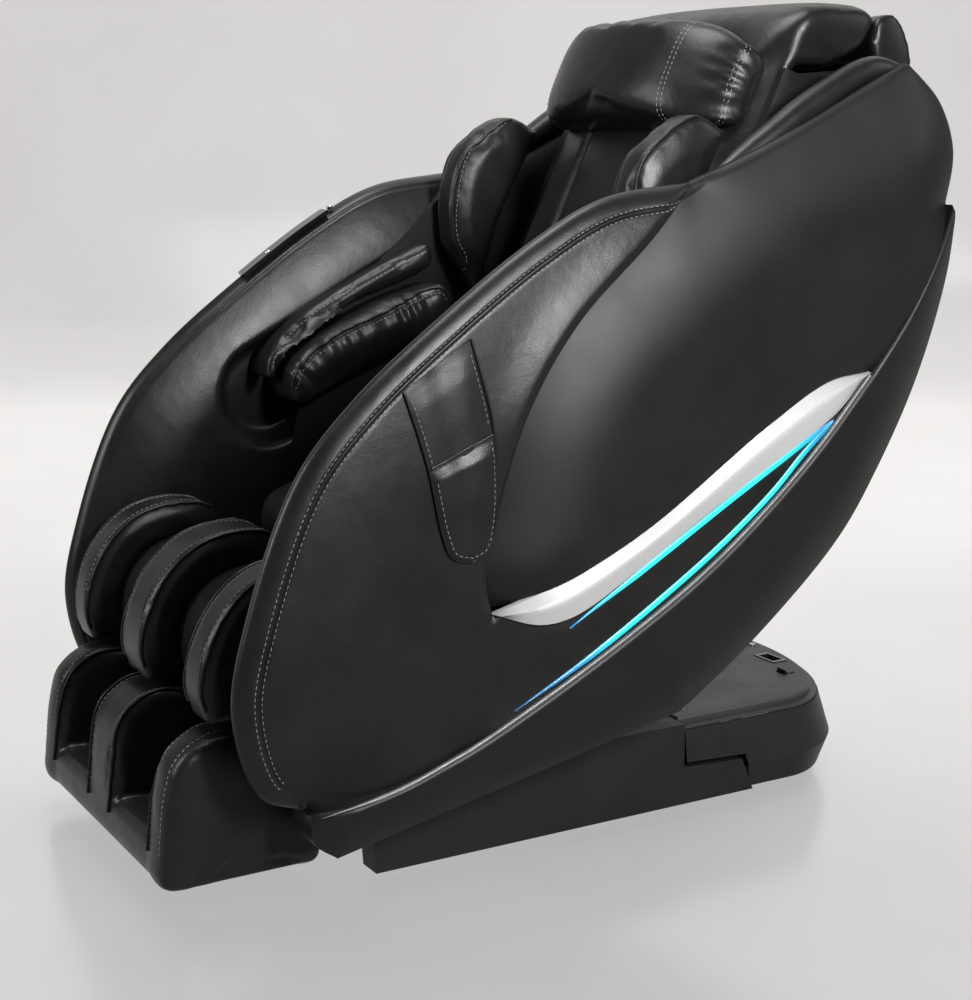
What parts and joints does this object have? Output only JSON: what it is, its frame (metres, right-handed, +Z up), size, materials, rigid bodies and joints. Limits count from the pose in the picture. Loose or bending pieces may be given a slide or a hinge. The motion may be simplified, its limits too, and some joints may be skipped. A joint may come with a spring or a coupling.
{
  "type": "massage chair",
  "caption": "Reclining massage chair with leaf-shaped side shells, head pillow, shoulder wings, lifting calf and foot rest and a roller carriage, on a floor base.",
  "frame": {"origin": "on the floor, under the middle of the chair", "axes": "+Z up, the sitter looks along -Y, the sitter's left is +X"},
  "size_m": [0.776, 1.2594, 1.2114],
  "materials": {
    "black_leather": "semi-gloss grained synthetic leather",
    "shell_plastic": "fine textured black",
    "sill_plastic": "fine textured black",
    "silver_plastic": "silver painted",
    "light_guide": "lit cyan",
    "base_plastic": "textured black",
    "deck_plastic": "fine textured dark grey",
    "frame_steel": "black powder coat",
    "shaft_steel": "ground steel",
    "black_rubber": "matt",
    "gloss_black": "gloss black",
    "chrome_key": "polished",
    "motor_grey": "satin grey"
  },
  "bodies": {
    "base": {"base_frame": "frame_steel", "base_side_cover_left": "base_plastic", "base_side_cover_right": "base_plastic", "base_rear_cover": "base_plastic", "base_deck": "deck_plastic", "rubber_feet": "black_rubber", "power_inlet": "gloss_black", "deck_screws": "shaft_steel", "pivot_shaft": "shaft_steel", "power_supply": "motor_grey"},
    "wheels": {"transport_wheels": "black_rubber"},
    "switch": {"power_switch": "gloss_black"},
    "tilt_motor": {"tilt_motor": "motor_grey"},
    "tilt_rod": {"tilt_rod": "shaft_steel"},
    "seat": {"seat_frame": "frame_steel", "seat_cushion": "black_leather", "hip_shaft": "shaft_steel", "knee_shaft": "shaft_steel", "remote_pocket": "black_leather", "control_strip": "gloss_black", "arm_liner_left": "black_leather", "arm_liner_right": "black_leather", "arm_panel_left": "black_leather", "arm_panel_right": "black_leather", "rear_shell_left": "shell_plastic", "rear_shell_right": "shell_plastic", "silver_trim_left": "silver_plastic", "silver_trim_right": "silver_plastic", "sill_panel_left": "sill_plastic", "sill_panel_right": "sill_plastic", "led_strip_left": "light_guide", "led_strip_right": "light_guide", "arm_pad_upper_left": "black_leather", "arm_pad_upper_right": "black_leather", "arm_pad_lower_left": "black_leather", "arm_pad_lower_right": "black_leather"},
    "front_key": {"front_key": "chrome_key"},
    "rear_key": {"rear_key": "chrome_key"},
    "recline_motor": {"recline_motor": "motor_grey"},
    "recline_rod": {"recline_rod": "shaft_steel"},
    "leg_motor": {"leg_motor": "motor_grey"},
    "leg_rod": {"leg_rod": "shaft_steel"},
    "backrest": {"backrest_frame": "frame_steel", "massage_rails": "shaft_steel", "lead_screw": "shaft_steel", "backrest_pad": "black_leather", "back_cover": "shell_plastic", "head_pillow": "black_leather", "shoulder_wing_left": "black_leather", "shoulder_wing_right": "black_leather"},
    "carriage": {"carriage_frame": "frame_steel", "knead_motor": "motor_grey"},
    "rollers": {"massage_rollers": "black_rubber"},
    "leg_rest": {"calf_frame": "frame_steel", "calf_shell": "black_leather", "calf_pad_left": "black_leather", "calf_pad_middle": "black_leather", "calf_pad_right": "black_leather"},
    "foot_unit": {"foot_rods": "shaft_steel", "foot_shell": "black_leather"}
  },
  "joints": [
    {"name": "wheels_spin", "type": "hinge", "parent": "base", "child": "wheels", "pos_m": [0, 0.5, 0.026], "axis": [1, 0, 0], "continuous": true},
    {"name": "switch_rock", "type": "hinge", "parent": "base", "child": "switch", "pos_m": [0.173, 0.481, 0.143], "axis": [1, 0, 0], "range_deg": [0, 10]},
    {"name": "seat_tilt", "type": "hinge", "parent": "base", "child": "seat", "pos_m": [0, 0.02, 0.2], "axis": [-1, 0, 0], "range_deg": [0, 20]},
    {"name": "tilt_motor_swing", "type": "hinge", "parent": "base", "child": "tilt_motor", "pos_m": [0, -0.24, 0.08], "axis": [-1, 0, 0], "range_deg": [0, 0.73862]},
    {"name": "tilt_rod_slide", "type": "slide", "parent": "tilt_motor", "child": "tilt_rod", "axis": [0, 0.4433, 0.8964], "range_m": [0, 0.0645]},
    {"name": "backrest_recline", "type": "hinge", "parent": "seat", "child": "backrest", "pos_m": [0, 0.1, 0.36], "axis": [-1, 0, 0], "range_deg": [0, 36]},
    {"name": "recline_motor_swing", "type": "hinge", "parent": "seat", "child": "recline_motor", "pos_m": [0.11, -0.15, 0.262], "axis": [-1, 0, 0], "range_deg": [-1.37, 0]},
    {"name": "recline_rod_slide", "type": "slide", "parent": "recline_motor", "child": "recline_rod", "axis": [0, 0.9998, 0.0222], "range_m": [-0.06046, 0]},
    {"name": "leg_lift", "type": "hinge", "parent": "seat", "child": "leg_rest", "pos_m": [0, -0.315, 0.395], "axis": [-1, 0, 0], "range_deg": [0, 70]},
    {"name": "leg_motor_swing", "type": "hinge", "parent": "seat", "child": "leg_motor", "pos_m": [-0.11, -0.06, 0.215], "axis": [-1, 0, 0], "range_deg": [0, 5.46]},
    {"name": "leg_rod_slide", "type": "slide", "parent": "leg_motor", "child": "leg_rod", "axis": [0, -0.9285, 0.3714], "range_m": [0, 0.08025]},
    {"name": "foot_slide", "type": "slide", "parent": "leg_rest", "child": "foot_unit", "axis": [0, -0.2588, -0.9659], "range_m": [0, 0.102]},
    {"name": "carriage_travel", "type": "slide", "parent": "backrest", "child": "carriage", "axis": [0, 0.4226, 0.9063], "range_m": [-0.03, 0.42]},
    {"name": "roller_spin", "type": "hinge", "parent": "carriage", "child": "rollers", "pos_m": [0, 0.17575, 0.58397], "axis": [1, 0, 0], "continuous": true},
    {"name": "front_key_press", "type": "slide", "parent": "seat", "child": "front_key", "axis": [0, 0.5446, -0.8387], "range_m": [0, 0.0015], "stiffness_N_per_m": 400},
    {"name": "rear_key_press", "type": "slide", "parent": "seat", "child": "rear_key", "axis": [0, 0.5075, -0.8616], "range_m": [0, 0.0015], "stiffness_N_per_m": 400}
  ],
  "couplings": [
    {"joint": "tilt_motor_swing", "follows": "seat_tilt", "ratio": 0.0264},
    {"joint": "tilt_rod_slide", "follows": "seat_tilt", "m_per_rad": 0.17974},
    {"joint": "recline_motor_swing", "follows": "backrest_recline", "ratio": -0.03192},
    {"joint": "recline_rod_slide", "follows": "backrest_recline", "m_per_rad": -0.093562},
    {"joint": "leg_motor_swing", "follows": "leg_lift", "ratio": 0.07366},
    {"joint": "leg_rod_slide", "follows": "leg_lift", "m_per_rad": 0.063993},
    {"joint": "foot_slide", "follows": "leg_lift", "m_per_rad": 0.081851}
  ]
}
